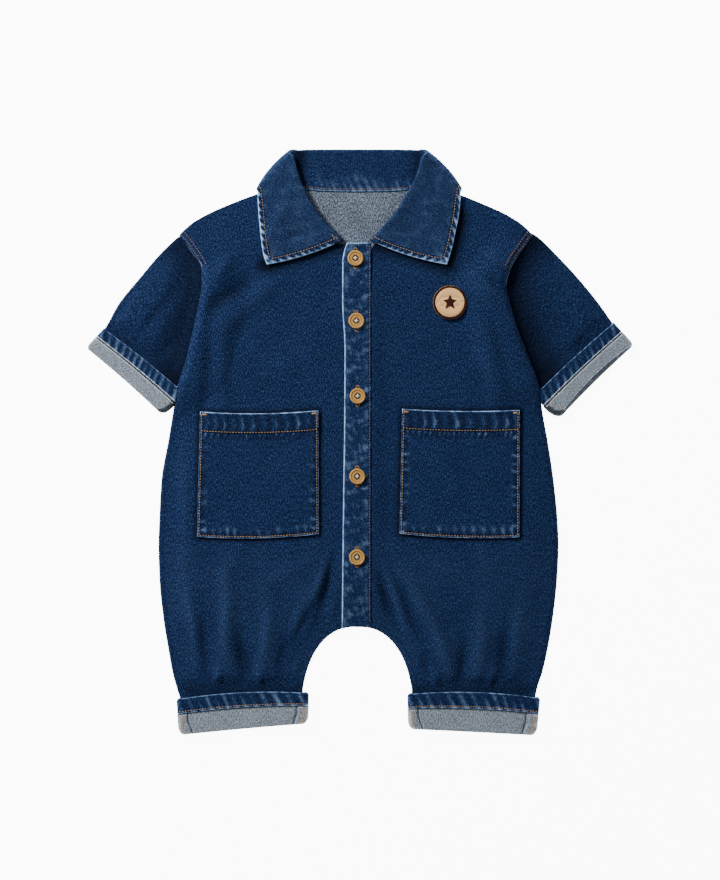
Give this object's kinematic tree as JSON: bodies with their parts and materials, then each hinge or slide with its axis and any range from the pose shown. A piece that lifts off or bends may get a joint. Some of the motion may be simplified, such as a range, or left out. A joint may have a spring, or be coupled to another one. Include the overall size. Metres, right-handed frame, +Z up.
{
  "type": "baby romper",
  "caption": "Short-sleeved collared denim baby romper with a buttoned front placket, two patch pockets and turned-up cuffs, laid flat on its back.",
  "frame": {"origin": "on the surface the garment lies on, under the middle of its outline", "axes": "+X towards the wearer's left, +Y up to the collar, +Z up out of the front"},
  "size_m": [0.4641, 0.4982, 0.0107],
  "materials": {
    "denim": "matt indigo twill, right side",
    "denim_inside": "matt grey twill, wrong side",
    "button": "satin",
    "embroidery": "satin-stitched thread",
    "thread": "twisted sewing thread"
  },
  "bodies": {
    "root": {"back": "denim", "front_right": "denim", "front_left": "denim", "placket": "denim", "collar": "denim", "sleeve_right": "denim", "sleeve_left": "denim", "sleeve_cuff_right": "denim_inside", "sleeve_cuff_left": "denim_inside", "leg_cuff_right": "denim_inside", "leg_cuff_left": "denim_inside", "pocket_right": "denim", "pocket_left": "denim", "button_1": "button", "button_2": "button", "button_3": "button", "button_4": "button", "button_5": "button", "badge": "embroidery"}
  },
  "joints": []
}
